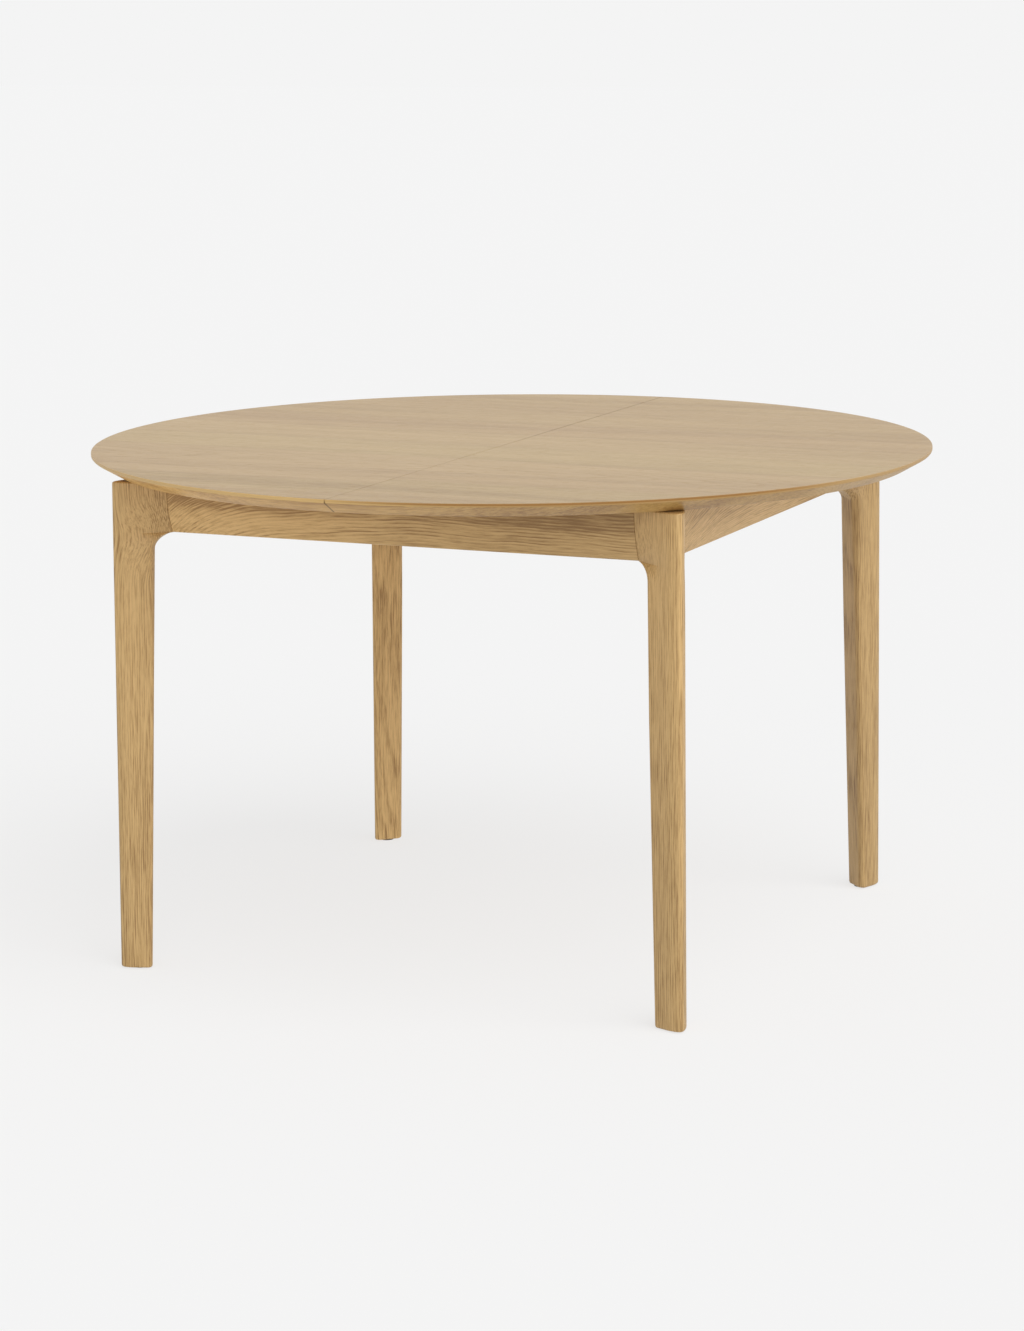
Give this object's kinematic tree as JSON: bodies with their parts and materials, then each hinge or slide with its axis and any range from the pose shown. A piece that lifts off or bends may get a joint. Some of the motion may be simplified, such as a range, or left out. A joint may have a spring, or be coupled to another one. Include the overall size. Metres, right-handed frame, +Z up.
{
  "type": "round extending dining table",
  "caption": "Round solid-oak dining table on a square frame with sculpted tapering legs; its two half-round tops slide apart to uncover a folded butterfly leaf.",
  "frame": {"origin": "on the floor, under the centre of the closed top", "axes": "+Z up; X across the seam, the way the halves slide; Y along the seam"},
  "size_m": [1.29, 1.29, 0.76],
  "materials": {
    "top_oak": "pale matt-lacquered oak, planks with the grain across the seam",
    "frame_oak": "golden oiled oak, satin, vertical grain on legs and lengthwise grain on aprons",
    "beech": "plain sanded beech",
    "steel": "zinc-plated steel",
    "aluminium": "mill-finish extruded aluminium",
    "nylon": "black moulded nylon",
    "felt": "brown pressed felt"
  },
  "bodies": {
    "frame": {"apron_back": "frame_oak", "apron_front": "frame_oak", "apron_left": "frame_oak", "apron_right": "frame_oak", "channel_stop_back_left": "nylon", "channel_stop_back_right": "nylon", "channel_stop_front_left": "nylon", "channel_stop_front_right": "nylon", "corner_block_back_left": "beech", "corner_block_back_right": "beech", "corner_block_front_left": "beech", "corner_block_front_right": "beech", "felt_strip_left": "felt", "felt_strip_right": "felt", "foot_glide_back_left": "nylon", "foot_glide_back_right": "nylon", "foot_glide_front_left": "nylon", "foot_glide_front_right": "nylon", "leaf_half_lower": "top_oak", "leaf_half_upper": "top_oak", "leaf_hinge_left_lower": "steel", "leaf_hinge_left_upper": "steel", "leaf_hinge_right_lower": "steel", "leaf_hinge_right_upper": "steel", "leaf_rail_left": "beech", "leaf_rail_right": "beech", "leg_back_left": "frame_oak", "leg_back_right": "frame_oak", "leg_bolt_back_left": "steel", "leg_bolt_back_right": "steel", "leg_bolt_front_left": "steel", "leg_bolt_front_right": "steel", "leg_front_left": "frame_oak", "leg_front_right": "frame_oak", "pinion_axle": "steel", "pinion_bracket": "steel", "pivot_arm_left": "steel", "pivot_arm_right": "steel", "pivot_bracket_left": "steel", "pivot_bracket_right": "steel", "slide_channel_back": "aluminium", "slide_channel_front": "aluminium"},
    "top_left": {"top_half_left": "top_oak", "alignment_dowel_1": "beech", "alignment_dowel_2": "beech", "alignment_dowel_3": "beech", "carriage_front_left": "nylon", "carriage_back_left": "nylon", "rack_left": "nylon", "lock_post_front": "steel", "lock_post_back": "steel"},
    "top_right": {"top_half_right": "top_oak", "carriage_front_right": "nylon", "carriage_back_right": "nylon", "rack_right": "nylon", "lock_keeper_front": "steel", "lock_keeper_back": "steel"},
    "sync_pinion": {"sync_pinion": "nylon"},
    "lock_hook_front": {"lock_hook_front": "steel"},
    "lock_hook_back": {"lock_hook_back": "steel"}
  },
  "joints": [
    {"name": "top_right_slide", "type": "slide", "parent": "frame", "child": "top_right", "axis": [1, 0, 0], "range_m": [0, 0.25]},
    {"name": "top_left_slide", "type": "slide", "parent": "frame", "child": "top_left", "axis": [-1, 0, 0], "range_m": [0, 0.25]},
    {"name": "pinion_turn", "type": "hinge", "parent": "frame", "child": "sync_pinion", "pos_m": [0, 0.343, 0.706], "axis": [0, -1, 0], "range_deg": [0, 1193.67]},
    {"name": "lock_front_turn", "type": "hinge", "parent": "top_left", "child": "lock_hook_front", "pos_m": [-0.022, -0.52, 0.7338], "axis": [0, 0, 1], "range_deg": [0, 90]},
    {"name": "lock_back_turn", "type": "hinge", "parent": "top_left", "child": "lock_hook_back", "pos_m": [-0.022, 0.52, 0.7338], "axis": [0, 0, -1], "range_deg": [0, 90]}
  ],
  "couplings": [
    {"joint": "top_left_slide", "follows": "top_right_slide", "ratio": 1},
    {"joint": "pinion_turn", "follows": "top_right_slide", "rad_per_m": 83.333}
  ]
}
